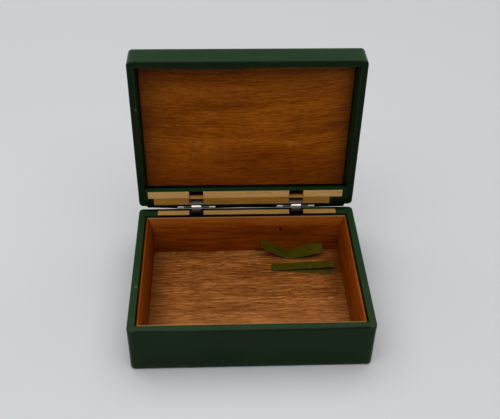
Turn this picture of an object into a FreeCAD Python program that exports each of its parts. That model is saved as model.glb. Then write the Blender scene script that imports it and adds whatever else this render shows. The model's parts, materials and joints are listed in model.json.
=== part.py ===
import FreeCAD, Part
import os
import re

# Jewelry box: a small wooden case covered in green leathercloth, with a mitred wooden liner in
# the base, a wooden panel in the lid, and two spring hinges that hold the lid open.
# X points right, Y to the back and Z up. The origin is on the surface that the box stands on,
# under its middle. Lengths are in millimetres and angles in degrees.
# Lid pieces are drawn with the lid shut and then swung open about the hinge axis.

sizes = {
    # whole box
    "box_width": 150.0,  # outside, left to right
    "box_depth": 114.0,  # outside, front to back
    "base_height": 35.0,  # standing surface to the base's rim
    "lid_height": 17.0,  # lid's rim to its top
    "lid_seam": 0.6,  # between the two rims when shut
    "lid_open_angle": 90.0,  # where the springs hold the lid
    "corner_radius": 3.0,  # upright corners, over the cover
    "edge_round": 0.8,  # top and bottom edges of the covers
    # cover and walls
    "cover_thickness": 1.2,  # leathercloth with its backing
    "turn_in": 0.6,  # thinner cover on the inner faces
    "side_wall": 2.9,  # wood of the base's sides
    "lid_side_wall": 2.6,  # wood of the lid's sides
    "front_wall": 2.7,  # wood of both fronts
    "back_wall": 5.8,  # wood of both backs
    "underside_thickness": 0.6,  # sheet glued under the base
    "underside_inset": 2.0,  # sheet's edge to the box's outside
    "bottom_board": 1.4,
    "floor_panel": 1.0,
    "floor_clearance": 0.2,  # floor panel to the walls
    # rear rims
    "bare_sink": 0.1,  # bare wood of the rear rims below the cover's faces
    "base_hem": 2.5,  # back of the base to the bare wood of its rear rim
    "lid_hem": 1.2,  # back of the lid to the bare wood of its rear rim
    "base_turn_left": 13.2,  # left side to the bare wood of the base's rear rim
    "base_turn_right": 12.2,  # the same, from the right side
    "lid_turn_left": 10.4,  # left side to the bare wood of the lid's rear rim
    "lid_turn_right": 16.2,  # the same, from the right side
    "fold_out": 1.0,  # folded edge of the lid's cover, behind the back
    "fold_height": 1.6,
    "fold_end": 5.3,  # its ends to the box's sides
    # liner of the base
    "liner_thickness": 3.6,
    "liner_groove": 0.9,  # between the liner's top and the walls
    "liner_groove_depth": 4.0,
    "liner_drop": 1.7,  # liner's top below the rim
    "liner_bevel_width": 2.6,
    "liner_bevel_height": 5.0,
    "nail_hole": 2.2,  # diameter of the old nail hole in the back board
    "nail_hole_x": 23.9,  # right of the middle
    "nail_hole_height": 20.0,  # above the floor
    # inside of the lid
    "lid_recess": 6.0,  # rim to the panel's face
    "lid_panel": 2.0,
    "lid_panel_gap": 1.0,  # shadow gap round the panel
    "batten_width": 5.8,
    "batten_left_end": 2.2,  # green facing beside the batten's left end
    "batten_right_end": 3.2,
    "batten_facing": 0.6,  # green facing on the batten's inner face
    "batten_notch_depth": 5.2,  # lid's rim to the notch's floor
    # hinges
    "hinge_spacing": 70.0,  # middle to middle
    "hinge_length": 26.4,
    "axis_outset": 0.7,  # hinge axis behind the back
    "pin_diameter": 1.0,
    "pin_clearance": 0.05,  # radial, in the lid's knuckles
    "barrel_diameter": 1.8,
    "barrel_clearance": 0.3,  # radial, barrel to wood
    "leaf_thickness": 0.5,
    "leaf_height": 9.8,
    "outer_knuckle": 4.1,  # length of each base knuckle
    "knuckle_gap": 0.2,
    "notch_depth": 4.8,  # in the base's bare rear rim
    "notch_side_gap": 1.7,  # spring to the notch's side
    "spring_width": 6.6,
    "spring_thickness": 0.5,
    "spring_radius": 4.2,  # middle of the strap to the hinge axis
    "spring_tip_gap": 0.2,  # strap's tip to the lid leaf, when shut
    "spring_clearance": 0.35,  # strap to the top of the lid's mortise
    "mortise_web": 0.8,  # wood left between the mortise and the batten
    "rivet_diameter": 1.5,  # holds the strap on the base leaf
    "rivet_head": 0.3,
    "brad_diameter": 0.9,
    "brad_cover": 1.1,  # wood left in front of a leaf brad's point
    # loose strips in the tray
    "strip_thickness": 0.7,
    "bent_width": 8.4,
    "bent_back_gap": 1.1,  # bent strip's crease to the liner behind it
    "bent_right_gap": 12.1,  # its right end to the liner
    "bent_turn": -1.0,  # seen from above
    "bent_left_length": 22.3,
    "bent_left_rise": 27.0,  # angle from the floor
    "bent_right_length": 24.9,
    "bent_right_rise": 12.8,
    "folded_width": 6.5,
    "folded_back_gap": 19.0,  # middle of the folded strip's fold to the liner behind it
    "folded_right_gap": 5.9,  # its right end to the liner
    "folded_length": 42.5,  # each leaf
    "folded_gap": 0.6,  # between the leaves at the fold
    "folded_lower_turn": -5.9,
    "folded_upper_turn": 2.0,
    # cutters
    "cut_over": 5.0,  # how far a cutter runs past what it cuts
}

doc = FreeCAD.newDocument("JewelryBox")
sheet = doc.addObject("Spreadsheet::Sheet", "Sizes")
for row, (alias, value) in enumerate(sizes.items(), start=1):
    sheet.set(f"A{row}", alias)
    sheet.set(f"B{row}", str(value))
    sheet.setAlias(f"B{row}", alias)
doc.recompute()

size_word = re.compile(r"(?<![\w.])(" + "|".join(sizes) + r")\b")
nodes = []


def expr(text):
    # a formula in the sheet's names, ready for setExpression
    return "(" + size_word.sub(r"Sizes.\1", text) + ")"


def node(label, piece):
    piece.Label = label
    nodes.append(piece)
    return piece


def block(name, x, y, z):
    # box between a low and a high formula on each axis
    box = doc.addObject("Part::Box", name)
    for axis, side, (low, high) in zip("xyz", ("Length", "Width", "Height"), (x, y, z)):
        box.setExpression(side, expr(f"({high}) - ({low})"))
        box.setExpression(f"Placement.Base.{axis}", expr(low))
    return box


def rounded_block(name, half_x, half_y, z, corner, edge=None):
    # box about the Z axis with rounded uprights and, where asked, rounded top and bottom edges
    body = doc.addObject("PartDesign::Body", name)
    low, high = z
    box = body.newObject("PartDesign::AdditiveBox", name + "_box")
    box.setExpression("Length", expr(f"2 * {half_x}"))
    box.setExpression("Width", expr(f"2 * {half_y}"))
    box.setExpression("Height", expr(f"({high}) - ({low})"))
    body.setExpression("Placement.Base.x", expr(f"-{half_x}"))
    body.setExpression("Placement.Base.y", expr(f"-{half_y}"))
    body.setExpression("Placement.Base.z", expr(low))
    doc.recompute()
    flat = 0.001
    uprights = [
        f"Edge{index}"
        for index, edge_shape in enumerate(box.Shape.Edges, start=1)
        if edge_shape.BoundBox.ZLength > flat
    ]
    corners = body.newObject("PartDesign::Fillet", name + "_corners")
    corners.Base = (box, uprights)
    corners.setExpression("Radius", expr(corner))
    doc.recompute()
    if edge:
        level = [
            f"Edge{index}"
            for index, edge_shape in enumerate(corners.Shape.Edges, start=1)
            if edge_shape.BoundBox.ZLength < flat
        ]
        edges = body.newObject("PartDesign::Fillet", name + "_edges")
        edges.Base = (corners, level)
        edges.setExpression("Radius", expr(edge))
        doc.recompute()
    return body


rod_turns = {
    "x": FreeCAD.Rotation(FreeCAD.Vector(0, 1, 0), 90),
    "y": FreeCAD.Rotation(FreeCAD.Vector(1, 0, 0), -90),
    "z": FreeCAD.Rotation(),
}


def rod(name, along, radius, span, across):
    # cylinder along one axis, from span's low to its high end; across gives the other two places
    cylinder = doc.addObject("Part::Cylinder", name)
    cylinder.Placement = FreeCAD.Placement(FreeCAD.Vector(), rod_turns[along])
    low, high = span
    start = list(across)
    start.insert("xyz".index(along), low)
    cylinder.setExpression("Radius", expr(radius))
    cylinder.setExpression("Height", expr(f"({high}) - ({low})"))
    for axis, spot in zip("xyz", start):
        cylinder.setExpression(f"Placement.Base.{axis}", expr(spot))
    return cylinder


def place(piece, x, y, z, turn="0", axis="0; 0; 1"):
    # moves a finished piece: a turn about an axis through its own origin, then a shift
    shift = f"vector({expr(x)}; {expr(y)}; {expr(z)})"
    piece.setExpression("Placement", f"placement({shift}; rotation(vector({axis}); {expr(turn)}))")
    return piece


def fuse(name, pieces):
    joined = doc.addObject("Part::MultiFuse", name)
    joined.Shapes = pieces
    return joined


def cut(name, base, tools):
    result = doc.addObject("Part::Cut", name)
    result.Base = base
    result.Tool = tools[0] if len(tools) == 1 else fuse(name + "_cutters", tools)
    return result


def common(name, base, tool):
    result = doc.addObject("Part::Common", name)
    result.Base = base
    result.Tool = tool
    return result


def group(name, pieces):
    result = doc.addObject("Part::Compound", name)
    result.Links = pieces
    return result


# Levels and faces that several pieces share, as formulas in the sheet's names.

outer_x = expr("box_width / 2")
outer_y = expr("box_depth / 2")
wood_x = expr(f"{outer_x} - cover_thickness")
wood_y = expr(f"{outer_y} - cover_thickness")
wood_corner = expr("corner_radius - cover_thickness")
front_in = expr(f"-{wood_y} + front_wall")
back_in = expr(f"{wood_y} - back_wall")

base_low = expr("underside_thickness")
base_wood_low = expr(f"{base_low} + cover_thickness")
base_wood_rim = expr("base_height - cover_thickness")
board_top = expr(f"{base_wood_low} + bottom_board")
floor_top = expr(f"{board_top} + floor_panel")

lid_rim = expr("base_height + lid_seam")
lid_top = expr(f"{lid_rim} + lid_height")
lid_wood_rim = expr(f"{lid_rim} + cover_thickness")
lid_wood_top = expr(f"{lid_top} - cover_thickness")
lid_board_low = expr(f"{lid_rim} + lid_recess + lid_panel")

tray_x = expr(f"{wood_x} - side_wall - turn_in")
lid_x = expr(f"{wood_x} - lid_side_wall - turn_in")
tray_front = expr(f"{front_in} + turn_in")

batten_front = expr(f"{back_in} - batten_width")
facing_front = expr(f"{batten_front} - batten_facing")

axis_y = expr(f"{outer_y} + axis_outset")
axis_z = expr("base_height + lid_seam / 2")
barrel = expr("barrel_diameter / 2")
barrel_room = expr(f"{barrel} + barrel_clearance")
leaf_front = expr(f"{wood_y} - leaf_thickness")
base_tab_low = expr(f"{axis_z} - {barrel}")
base_leaf_top = expr(f"{base_tab_low} + leaf_thickness")
base_leaf_low = expr(f"{base_leaf_top} - leaf_height")
lid_tab_top = expr(f"{axis_z} + {barrel}")
lid_leaf_low = expr(f"{lid_tab_top} - leaf_thickness")
lid_leaf_top = expr(f"{lid_leaf_low} + leaf_height")
notch_floor = expr(f"{base_wood_rim} - notch_depth")
notch_half = expr("spring_width / 2 + notch_side_gap")
hinge_half = expr("hinge_length / 2")
inner_start = expr("spring_width / 2 + knuckle_gap")
outer_start = expr(f"{hinge_half} - outer_knuckle")
inner_end = expr(f"{outer_start} - knuckle_gap")
spring_out = expr("spring_radius + spring_thickness / 2")
spring_in = expr("spring_radius - spring_thickness / 2")
mortise_front = expr(f"{back_in} + mortise_web")
mortise_top = expr(f"{axis_z} + {spring_out} + spring_clearance")
brad = expr("brad_diameter / 2")
brad_x = expr(f"({notch_half} + {hinge_half}) / 2")
brad_point = expr(f"{back_in} + brad_cover")
base_brad_z = expr(f"{base_leaf_top} - leaf_height / 2")
lid_brad_z = expr(f"{lid_leaf_low} + leaf_height / 2")
tail_front = expr(f"{leaf_front} - spring_thickness")
tail_top = expr(f"{axis_z} - sqrt({spring_in}^2 - ({axis_y} - {leaf_front})^2)")
rivet_z = expr(f"({notch_floor} + {tail_top}) / 2")


def about(middle, low, high):
    # the span from low to high, counted from a middle
    return (f"{middle} + {low}", f"{middle} + {high}")


def swung(label, piece):
    # lid node: the shut piece, turned open about the hinge axis
    wing = node(label, group(label + "_open", [piece]))
    turn = "lid_open_angle"
    y = f"{axis_y} - {axis_y} * cos({turn}) - {axis_z} * sin({turn})"
    z = f"{axis_z} + {axis_y} * sin({turn}) - {axis_z} * cos({turn})"
    return place(wing, "0", y, z, turn, "-1; 0; 0")


# Cutters for the hinges: what each hinge takes out of the walls, covers and batten.

hinges = {"left_hinge": expr("-hinge_spacing / 2"), "right_hinge": expr("hinge_spacing / 2")}
cutters = {"base_wall": [], "lid_wall": [], "base_cover": [], "lid_cover": [], "batten": [], "barrel": []}
base_brads = {}
lid_brads = {}
spring_rivets = {}

for name, middle in hinges.items():
    width = about(middle, f"-{hinge_half}", hinge_half)
    notch = about(middle, f"-{notch_half}", notch_half)
    rear = (leaf_front, f"{outer_y} + cut_over")
    notch_y = (f"{back_in} - cut_over", leaf_front)
    above_base = f"{lid_rim} + cut_over"
    below_lid = "base_height - cut_over"
    base_notch = block(name + "_base_notch", notch, notch_y, (notch_floor, above_base))
    base_recess = block(name + "_base_recess", width, rear, (base_leaf_low, above_base))
    cutters["base_wall"] += [base_recess, base_notch]
    cutters["lid_wall"] += [
        block(name + "_lid_recess", width, rear, (below_lid, lid_leaf_top)),
        block(name + "_mortise", notch, (mortise_front, wood_y), (below_lid, mortise_top)),
    ]
    batten_y = (batten_front, f"{back_in} + cut_over")
    notch_top = f"{lid_rim} + batten_notch_depth"
    cutters["batten"].append(block(name + "_batten_notch", notch, batten_y, (below_lid, notch_top)))
    room = about(middle, f"-{hinge_half} - barrel_clearance", f"{hinge_half} + barrel_clearance")
    base_slot = (base_wood_rim, above_base)
    lid_slot = (below_lid, f"{lid_tab_top} + barrel_clearance")
    cutters["base_cover"] += [base_notch, block(name + "_base_slot", room, rear, base_slot)]
    cutters["lid_cover"].append(block(name + "_lid_slot", room, rear, lid_slot))
    cutters["barrel"].append(rod(name + "_barrel_room", "x", barrel_room, room, (axis_y, axis_z)))
    for hand, side in (("left", "-"), ("right", "")):
        x = f"{middle} + {side}{brad_x}"
        span = (brad_point, wood_y)
        base_brads[name, hand] = rod(f"{name}_{hand}_base_brad", "y", brad, span, (x, base_brad_z))
        lid_brads[name, hand] = rod(f"{name}_{hand}_lid_brad", "y", brad, span, (x, lid_brad_z))
    rivet_y = (f"{tail_front} - rivet_head", wood_y)
    spring_rivets[name] = rod(name + "_rivet", "y", "rivet_diameter / 2", rivet_y, (middle, rivet_z))


# Walls, boards and covers: the base and the lid are made alike, from their own levels.


def half_case(name, half):
    # four walls, the board between them and the cover round them, all drawn shut
    core = rounded_block(name + "_core", wood_x, wood_y, half["wood"], wood_corner)
    side_in = f"({wood_x} - {half['side_wall']})"
    across = (f"-{side_in}", side_in)
    deep = (f"-{outer_y}", outer_y)
    slabs = {
        "left": block(name + "_left_slab", (f"-{outer_x}", f"-{side_in}"), deep, half["wood"]),
        "right": block(name + "_right_slab", (side_in, outer_x), deep, half["wood"]),
    }
    pieces = {}
    for hand, slab in slabs.items():
        pieces[hand + "_wall"] = common(f"{name}_{hand}_wall_piece", core, slab)
    front = block(name + "_front_slab", across, (f"-{wood_y}", front_in), half["wood"])
    pieces["front_wall"] = group(name + "_front_wall_piece", [front])
    bare_x = (f"-{outer_x} + {half['turn_left']}", f"{outer_x} - {half['turn_right']}")
    back_slab = block(name + "_back_slab", across, (back_in, wood_y), half["wood"])
    bare_y = (back_in, f"{outer_y} - {half['hem']}")
    lip = block(name + "_back_lip", bare_x, bare_y, half["lip"])
    back = fuse(name + "_back_whole", [back_slab, lip])
    pieces["back_wall"] = cut(name + "_back_wall_cut", back, half["wall_cuts"] + cutters["barrel"])
    inner = block(name + "_board_slab", across, (front_in, back_in), half["board"])
    pieces["board"] = group(name + "_board_piece", [inner])
    hollow_x = f"({side_in} - turn_in)"
    hollow = block(name + "_hollow", (f"-{hollow_x}", hollow_x), (tray_front, back_in), half["hollow"])
    bare = block(name + "_bare_rim", bare_x, bare_y, half["bare"])
    shell = rounded_block(name + "_shell", outer_x, outer_y, half["outer"], "corner_radius", "edge_round")
    skin = fuse(name + "_skin", [shell] + half["folds"]) if half["folds"] else shell
    wood = [pieces["left_wall"], pieces["right_wall"], front, back_slab, inner]
    openings = [hollow, bare] + half["cover_cuts"] + cutters["barrel"]
    pieces["cover"] = cut(name + "_cover_cut", skin, wood + openings)
    return pieces


fold_x = (f"-{outer_x} + fold_end", f"{outer_x} - fold_end")
fold_z = (lid_rim, f"{lid_rim} + fold_height")
lid_fold = block("lid_fold", fold_x, (wood_y, f"{outer_y} + fold_out"), fold_z)


base = half_case(
    "base",
    {
        "outer": (base_low, "base_height"),
        "wood": (base_wood_low, base_wood_rim),
        "board": (base_wood_low, board_top),
        "hollow": (board_top, "base_height + cut_over"),
        "bare": (base_wood_rim, "base_height + cut_over"),
        "lip": (base_wood_rim, "base_height - bare_sink"),
        "hem": "base_hem",
        "folds": [],
        "side_wall": "side_wall",
        "turn_left": "base_turn_left",
        "turn_right": "base_turn_right",
        "wall_cuts": cutters["base_wall"] + list(base_brads.values()),
        "cover_cuts": cutters["base_cover"],
    },
)
lid = half_case(
    "lid",
    {
        "outer": (lid_rim, lid_top),
        "wood": (lid_wood_rim, lid_wood_top),
        "board": (lid_board_low, lid_wood_top),
        "hollow": (f"{lid_rim} - cut_over", lid_board_low),
        "bare": (f"{lid_rim} - cut_over", lid_wood_rim),
        "lip": (f"{lid_rim} + bare_sink", lid_wood_rim),
        "hem": "lid_hem",
        "folds": [lid_fold],
        "side_wall": "lid_side_wall",
        "turn_left": "lid_turn_left",
        "turn_right": "lid_turn_right",
        "wall_cuts": cutters["lid_wall"] + list(lid_brads.values()),
        "cover_cuts": cutters["lid_cover"],
    },
)
for wall in ("left_wall", "right_wall", "front_wall", "back_wall", "cover"):
    node("base_" + wall, base[wall])
    swung("lid_" + wall, lid[wall])
node("bottom_board", base["board"])
swung("lid_top_board", lid["board"])


# Sheet under the base, floor panel and liner.

sheet_x = expr(f"{outer_x} - underside_inset")
sheet_y = expr(f"{outer_y} - underside_inset")
node("underside_sheet", rounded_block("underside", sheet_x, sheet_y, ("0", base_low), "corner_radius"))

floor_x = expr(f"{tray_x} - floor_clearance")
floor_y = (f"{tray_front} + floor_clearance", f"{back_in} - floor_clearance")
floor_slab = block("floor_slab", (f"-{floor_x}", floor_x), floor_y, (board_top, floor_top))
node("floor_panel", group("floor_panel_piece", [floor_slab]))

liner_deep = expr("liner_groove + liner_thickness")
liner_high = expr(f"base_height - liner_drop - {floor_top}")
tray_middle_y = expr(f"({tray_front} + {back_in}) / 2")


def wedge(name, low, high):
    # tapered block: low and high give the x and z spans of its two ends along Y
    piece = doc.addObject("Part::Wedge", name)
    (low_y, low_x, low_z), (high_y, high_x, high_z) = low, high
    spans = {"Y": (low_y, high_y), "X": low_x, "Z": low_z, "X2": high_x, "Z2": high_z}
    for axis, (least, most) in spans.items():
        piece.setExpression(axis + "min", expr(least))
        piece.setExpression(axis + "max", expr(most))
    return piece


def liner_board(name, length, holes):
    # mitred board, outer face on Y = 0: a groove along its outer top edge, a bevel along the inner
    half = f"({length}) / 2"
    short = f"({half} - {liner_deep})"
    tall = ("0", liner_high)
    outer_face = ("0", (f"-{half}", half), tall)
    inner_face = (liner_deep, (f"-{short}", short), tall)
    board = wedge(name + "_board", outer_face, inner_face)
    whole = (f"-{half} - cut_over", f"{half} + cut_over")
    groove_z = (f"{liner_high} - liner_groove_depth", f"{liner_high} + cut_over")
    groove = block(name + "_groove", whole, ("-cut_over", "liner_groove"), groove_z)
    bevel_high = (liner_high, liner_high)
    bevel_face = (f"{liner_high} - liner_bevel_height", liner_high)
    bevel = wedge(name + "_bevel", ("0", whole, bevel_face), ("liner_bevel_width", whole, bevel_high))
    place(bevel, "0", liner_deep, "0", "180")
    return cut(name + "_cut", board, [groove, bevel] + holes)


tray_width = expr(f"2 * {tray_x}")
tray_depth = expr(f"{back_in} - {tray_front}")
hole_span = ("-cut_over", f"{liner_deep} + cut_over")
nail_hole = rod("old_nail_hole", "y", "nail_hole / 2", hole_span, ("-nail_hole_x", "nail_hole_height"))
liner_places = {
    "front": (tray_width, "0", tray_front, "0", []),
    "back": (tray_width, "0", back_in, "180", [nail_hole]),
    "left": (tray_depth, f"-{tray_x}", tray_middle_y, "-90", []),
    "right": (tray_depth, tray_x, tray_middle_y, "90", []),
}
for hand, (length, x, y, turn, holes) in liner_places.items():
    board = liner_board("liner_" + hand, length, holes)
    node("liner_" + hand, place(board, x, y, floor_top, turn))


# Panel, batten and facing in the lid.

panel_x = expr(f"{lid_x} - lid_panel_gap")
panel_y = (f"{tray_front} + lid_panel_gap", f"{facing_front} - lid_panel_gap")
panel_z = (f"{lid_rim} + lid_recess", lid_board_low)
swung("lid_panel", block("lid_panel_slab", (f"-{panel_x}", panel_x), panel_y, panel_z))

batten_x = (f"-{lid_x} + batten_left_end", f"{lid_x} - batten_right_end")
batten_z = (lid_rim, lid_board_low)
batten_slab = block("batten_slab", batten_x, (batten_front, back_in), batten_z)
swung("lid_batten", cut("batten_cut", batten_slab, cutters["batten"]))
facing_slab = block("facing_slab", (f"-{lid_x}", lid_x), (facing_front, back_in), batten_z)
swung("batten_facing", cut("facing_cut", facing_slab, [batten_slab]))


# Hinges: base leaf, lid leaf, pin and spring strap.


def leaf(name, middle, plate, tab_z, knuckles, bore, holes):
    # flat plate with a tab and a knuckle in each of the two spans given
    parts = [plate]
    for hand, (low, high) in (("left", [f"-{end}" for end in knuckles[::-1]]), ("right", knuckles)):
        span = about(middle, low, high)
        parts.append(block(f"{name}_{hand}_tab", span, (leaf_front, axis_y), tab_z))
        parts.append(rod(f"{name}_{hand}_knuckle", "x", barrel, span, (axis_y, axis_z)))
    through = about(middle, f"-{hinge_half} - cut_over", f"{hinge_half} + cut_over")
    bore_rod = rod(name + "_bore", "x", bore, through, (axis_y, axis_z))
    return cut(name + "_cut", fuse(name + "_blank", parts), [bore_rod] + holes)


for name, middle in hinges.items():
    width = about(middle, f"-{hinge_half}", hinge_half)
    plate_y = (leaf_front, wood_y)
    hinge_base_brads = [base_brads[name, hand] for hand in ("left", "right")]
    hinge_lid_brads = [lid_brads[name, hand] for hand in ("left", "right")]
    plate = block(name + "_base_plate", width, plate_y, (base_leaf_low, base_leaf_top))
    base_leaf = leaf(
        name + "_base_leaf",
        middle,
        plate,
        (base_tab_low, base_leaf_top),
        (outer_start, hinge_half),
        "pin_diameter / 2",
        hinge_base_brads + [spring_rivets[name]],
    )
    node(name + "_base_leaf", base_leaf)
    plate = block(name + "_lid_plate", width, plate_y, (lid_leaf_low, lid_leaf_top))
    lid_leaf = leaf(
        name + "_lid_leaf",
        middle,
        plate,
        (lid_leaf_low, lid_tab_top),
        (inner_start, inner_end),
        "pin_diameter / 2 + pin_clearance",
        hinge_lid_brads,
    )
    swung(name + "_lid_leaf", lid_leaf)
    node(name + "_pin", group(name + "_pin_rod", [
        rod(name + "_rod", "x", "pin_diameter / 2", width, (axis_y, axis_z)),
    ]))
    strap = about(middle, "-spring_width / 2", "spring_width / 2")
    ring = cut(name + "_ring", rod(name + "_ring_out", "x", spring_out, strap, (axis_y, axis_z)), [
        rod(name + "_ring_in", "x", spring_in, strap, (axis_y, axis_z)),
    ])
    ring_y = f"{axis_y} - {spring_out} - cut_over"
    upper_z = (axis_z, f"{axis_z} + {spring_out} + cut_over")
    lower_z = (f"{axis_z} - {spring_out} - cut_over", axis_z)
    reach = fuse(name + "_reach", [
        block(name + "_upper_reach", strap, (ring_y, f"{leaf_front} - spring_tip_gap"), upper_z),
        block(name + "_lower_reach", strap, (ring_y, leaf_front), lower_z),
    ])
    bend = common(name + "_bend", ring, reach)
    tail = block(name + "_tail", strap, (tail_front, leaf_front), (notch_floor, tail_top))
    spring = fuse(name + "_strap", [bend, tail])
    node(name + "_spring", cut(name + "_spring_cut", spring, [spring_rivets[name]]))

node("base_hinge_brads", group("base_brad_group", list(base_brads.values())))
swung("lid_hinge_brads", group("lid_brad_group", list(lid_brads.values())))
node("spring_rivets", group("spring_rivet_group", list(spring_rivets.values())))


# Loose strips: each is two flat arms or leaves joined by a round bend, lying on the floor panel.


def flat_strip(name, length, width):
    strip = doc.addObject("Part::Box", name)
    for side, formula in zip(("Length", "Width", "Height"), (length, width, "strip_thickness")):
        strip.setExpression(side, expr(formula))
    return strip


half_strip = expr("strip_thickness / 2")
left_x = f"{half_strip} * sin(bent_left_rise)"
left_z = f"{half_strip} + {half_strip} * cos(bent_left_rise)"
right_x = f"{half_strip} * sin(bent_right_rise)"
right_z = f"{half_strip} - {half_strip} * cos(bent_right_rise)"
left_turn = "bent_left_rise - 180"
right_turn = "-bent_right_rise"
left_arm = flat_strip("bent_left_arm", "bent_left_length", "bent_width")
right_arm = flat_strip("bent_right_arm", "bent_right_length", "bent_width")
bent = fuse("bent_strip_piece", [
    place(left_arm, left_x, "0", left_z, left_turn, "0; 1; 0"),
    place(right_arm, right_x, "0", right_z, right_turn, "0; 1; 0"),
    rod("bent_crease", "y", half_strip, ("0", "bent_width"), ("0", half_strip)),
])
liner_right_in = expr(f"{tray_x} - {liner_deep}")
liner_back_in = expr(f"{back_in} - {liner_deep}")
crease_x = f"{liner_right_in} - bent_right_gap - bent_right_length * cos(bent_right_rise)"
crease_y = f"{liner_back_in} - bent_back_gap - bent_width"
node("bent_strip", place(bent, crease_x, crease_y, floor_top, "bent_turn"))

fold_radius = expr("strip_thickness + folded_gap / 2")
upper_low = expr("strip_thickness + folded_gap")


def leaf_strip(name, low, turn):
    # flat leaf that fans out from the middle of the fold
    flat = flat_strip(name, "folded_length", "folded_width")
    half_width = "folded_width / 2"
    return place(flat, f"{half_width} * sin({turn})", f"-{half_width} * cos({turn})", low, turn)


across_fold = ("-folded_width / 2", "folded_width / 2")
folded = fuse("folded_strip_piece", [
    leaf_strip("folded_lower_leaf", "0", "folded_lower_turn"),
    leaf_strip("folded_upper_leaf", upper_low, "folded_upper_turn"),
    rod("folded_fold", "y", fold_radius, across_fold, ("0", fold_radius)),
])
folded_x = f"{liner_right_in} - folded_right_gap - folded_length"
folded_y = f"{liner_back_in} - folded_back_gap"
node("folded_strip", place(folded, folded_x, folded_y, floor_top))


# Check every object, then write one file for each node.

doc.recompute()
for item in doc.Objects:
    if "Invalid" in item.State or "Error" in item.State:
        raise RuntimeError(f"{item.Label} failed: {item.State}")
for piece in nodes:
    if piece.Shape.isNull() or not piece.Shape.isValid() or not piece.Shape.Solids:
        raise RuntimeError(f"{piece.Label} has no valid solid")

os.makedirs("parts", exist_ok=True)
for piece in nodes:
    piece.Shape.exportStep(f"parts/{piece.Label}.step")
    print(piece.Label, len(piece.Shape.Solids), "solids,", round(piece.Shape.Volume, 2), "mm3")
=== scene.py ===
import json
import math

import bmesh
import bpy
import numpy as np
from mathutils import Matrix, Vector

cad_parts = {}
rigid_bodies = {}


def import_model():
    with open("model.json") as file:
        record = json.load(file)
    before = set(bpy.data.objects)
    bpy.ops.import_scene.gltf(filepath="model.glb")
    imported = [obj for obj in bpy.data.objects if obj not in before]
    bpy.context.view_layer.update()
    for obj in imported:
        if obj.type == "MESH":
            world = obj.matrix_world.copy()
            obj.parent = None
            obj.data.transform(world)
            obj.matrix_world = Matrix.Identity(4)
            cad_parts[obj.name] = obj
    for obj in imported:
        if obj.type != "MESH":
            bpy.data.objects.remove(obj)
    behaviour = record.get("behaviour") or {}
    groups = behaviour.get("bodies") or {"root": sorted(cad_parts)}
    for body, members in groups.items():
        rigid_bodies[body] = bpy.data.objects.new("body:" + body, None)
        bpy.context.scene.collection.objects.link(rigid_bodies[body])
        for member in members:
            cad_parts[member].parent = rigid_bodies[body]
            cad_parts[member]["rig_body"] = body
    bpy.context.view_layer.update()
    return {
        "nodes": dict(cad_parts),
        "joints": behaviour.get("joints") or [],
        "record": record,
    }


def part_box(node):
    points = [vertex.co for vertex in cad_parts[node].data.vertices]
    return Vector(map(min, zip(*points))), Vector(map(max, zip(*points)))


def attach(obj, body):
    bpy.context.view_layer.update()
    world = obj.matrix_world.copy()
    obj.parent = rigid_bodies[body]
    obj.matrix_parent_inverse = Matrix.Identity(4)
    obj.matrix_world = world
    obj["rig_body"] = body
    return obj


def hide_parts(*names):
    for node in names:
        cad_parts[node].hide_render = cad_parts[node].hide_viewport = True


# Jewelry box: green leathercloth over wood, wooden liner and lid panel, two spring hinges.
# Shapes are worked out in millimetres and put into the meshes in metres.
# The lid's cover is drawn with the lid shut, then swung open about the hinge axis.

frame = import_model()
nodes = frame["nodes"]
mm = 0.001

hinge = frame["joints"][0]
hingeY = hinge["pos_m"][1] / mm
hingeZ = hinge["pos_m"][2] / mm
openTurn = math.radians(hinge["range_deg"][1])  # from shut to open
print("frame loaded:", len(nodes), "nodes")


def nodeBox(name):
    low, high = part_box(name)
    return np.array(low) / mm, np.array(high) / mm


def swing(points, turn):
    # turns points back about the hinge axis, which lies along X
    dy = points[..., 1] - hingeY
    dz = points[..., 2] - hingeZ
    y = hingeY + dy * math.cos(turn) + dz * math.sin(turn)
    z = hingeZ - dy * math.sin(turn) + dz * math.cos(turn)
    return np.stack([points[..., 0], y, z], axis=-1)


def shutBox(name):
    # box of a lid node with the lid shut
    corners = swing(np.array(nodeBox(name)), -openTurn)
    return corners.min(0), corners.max(0)


def finishPiece(name, mesh, body, material, replaced, crease):
    # puts a mesh on a body, with outward faces and edges sharper than the crease angle kept sharp
    mesh.calc_loop_triangles()
    corners = np.zeros(len(mesh.loop_triangles) * 3, np.int32)
    mesh.loop_triangles.foreach_get("vertices", corners)
    places = np.zeros(len(mesh.vertices) * 3)
    mesh.vertices.foreach_get("co", places)
    a, b, c = places.reshape(-1, 3)[corners.reshape(-1, 3)].transpose(1, 0, 2)
    if np.einsum("ij,ij->", a, np.cross(b, c)) < 0:
        mesh.flip_normals()
    mesh.shade_smooth()
    mesh.set_sharp_from_angle(angle=math.radians(crease))
    mesh.materials.append(material)
    piece = bpy.data.objects.new(name, mesh)
    bpy.context.scene.collection.objects.link(piece)
    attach(piece, body)
    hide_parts(*replaced)
    return piece


def meshOf(name, points, faces, marks=None):
    # new mesh from points in millimetres; marks are named values, one for each point
    mesh = bpy.data.meshes.new(name)
    mesh.from_pydata((points * mm).tolist(), [], faces)
    for label, values in (marks or {}).items():
        layer = mesh.attributes.new(label, "FLOAT", "POINT")
        layer.data.foreach_set("value", values.astype(np.float32))
    return mesh


# Node helpers


def put(tree, kind, inputs=None, **settings):
    # adds a node; an input is a plain value or another node's socket
    node = tree.nodes.new(kind)
    for key, value in settings.items():
        setattr(node, key, value)
    for key, value in (inputs or {}).items():
        if isinstance(value, bpy.types.NodeSocket):
            tree.links.new(value, node.inputs[key])
        else:
            node.inputs[key].default_value = value
    return node


def calc(tree, operation, first, second=0.0, third=0.0):
    return put(tree, "ShaderNodeMath", {0: first, 1: second, 2: third}, operation=operation).outputs[0]


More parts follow.
